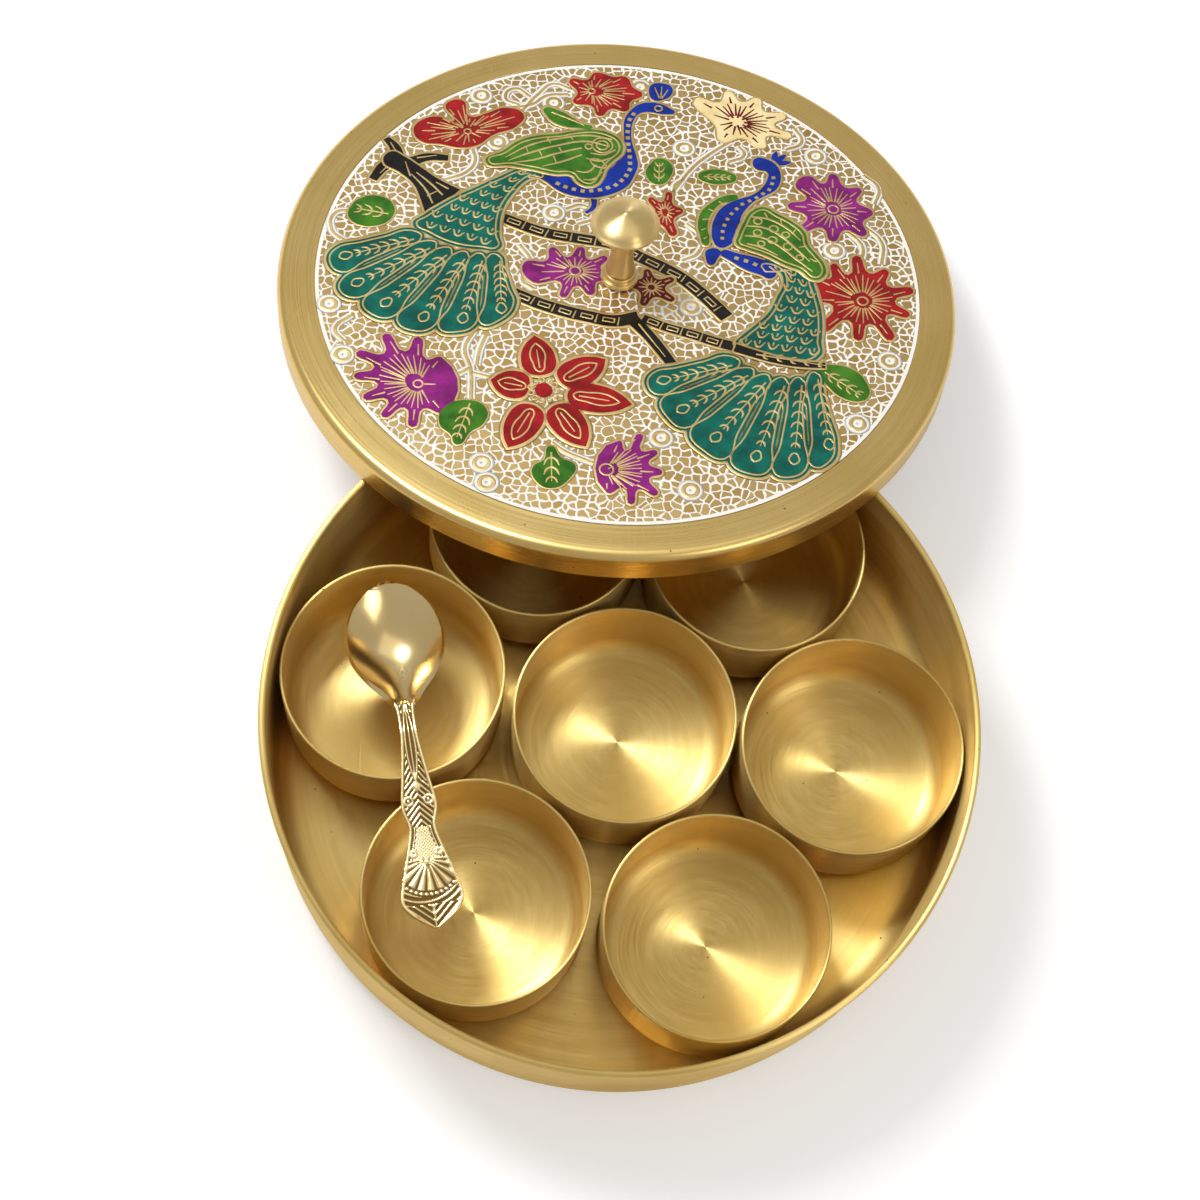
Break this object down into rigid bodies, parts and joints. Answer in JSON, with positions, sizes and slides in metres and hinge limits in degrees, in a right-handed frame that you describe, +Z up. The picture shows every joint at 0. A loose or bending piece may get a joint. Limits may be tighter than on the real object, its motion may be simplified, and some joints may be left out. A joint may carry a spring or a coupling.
{
  "type": "spice box",
  "caption": "Round brass spice box: open tray with loose round cups, a spoon across their rims, and an enamelled lid with a turned knob leaning on the tray's rim.",
  "frame": {"origin": "on the table, at the middle of the tray's flat underside, on the tray's axis", "axes": "+Z up, +Y towards the leaning lid, +X to the right as seen from the front"},
  "size_m": [0.2312, 0.3808, 0.0716],
  "materials": {
    "brass_satin": "satin, circularly brushed",
    "brass_polished": "turned and polished",
    "brass_antique": "polished relief with a dark patina in its recesses",
    "enamel": "glossy enamel in white and gold with coloured birds and flowers"
  },
  "bodies": {
    "tray": {"tray": "brass_satin"},
    "lid": {"lid_shell": "brass_satin", "lid_enamel": "enamel", "knob_collar": "brass_polished", "knob": "brass_polished", "knob_screw": "brass_polished", "knob_washer": "brass_polished"},
    "cup_right": {"cup_right": "brass_satin"},
    "cup_rear_right": {"cup_rear_right": "brass_satin"},
    "cup_rear_left": {"cup_rear_left": "brass_satin"},
    "cup_left": {"cup_left": "brass_satin"},
    "cup_front_left": {"cup_front_left": "brass_satin"},
    "cup_front_right": {"cup_front_right": "brass_satin"},
    "cup_centre": {"cup_centre": "brass_satin"},
    "spoon": {"spoon": "brass_antique"}
  },
  "joints": [
    {"name": "lid_lift", "type": "slide", "parent": "tray", "child": "lid", "axis": [0, 0, 1], "range_m": [0, 0.12]},
    {"name": "cup_centre_lift", "type": "slide", "parent": "tray", "child": "cup_centre", "axis": [0, 0, 1], "range_m": [0, 0.06]},
    {"name": "cup_right_lift", "type": "slide", "parent": "tray", "child": "cup_right", "axis": [0, 0, 1], "range_m": [0, 0.06]},
    {"name": "cup_front_right_lift", "type": "slide", "parent": "tray", "child": "cup_front_right", "axis": [0, 0, 1], "range_m": [0, 0.06]},
    {"name": "cup_left_lift", "type": "slide", "parent": "tray", "child": "cup_left", "axis": [0, 0, 1], "range_m": [0, 0.06]},
    {"name": "cup_rear_right_lift", "type": "slide", "parent": "tray", "child": "cup_rear_right", "axis": [0, 0, 1], "range_m": [0, 0.011]},
    {"name": "cup_rear_left_lift", "type": "slide", "parent": "tray", "child": "cup_rear_left", "axis": [0, 0, 1], "range_m": [0, 0.008]},
    {"name": "cup_front_left_turn", "type": "hinge", "parent": "tray", "child": "cup_front_left", "pos_m": [-0.04508, -0.05566, 0.0015], "axis": [0, 0, 1], "continuous": true},
    {"name": "spoon_lift", "type": "slide", "parent": "cup_left", "child": "spoon", "axis": [0, 0, 1], "range_m": [0, 0.06]}
  ]
}
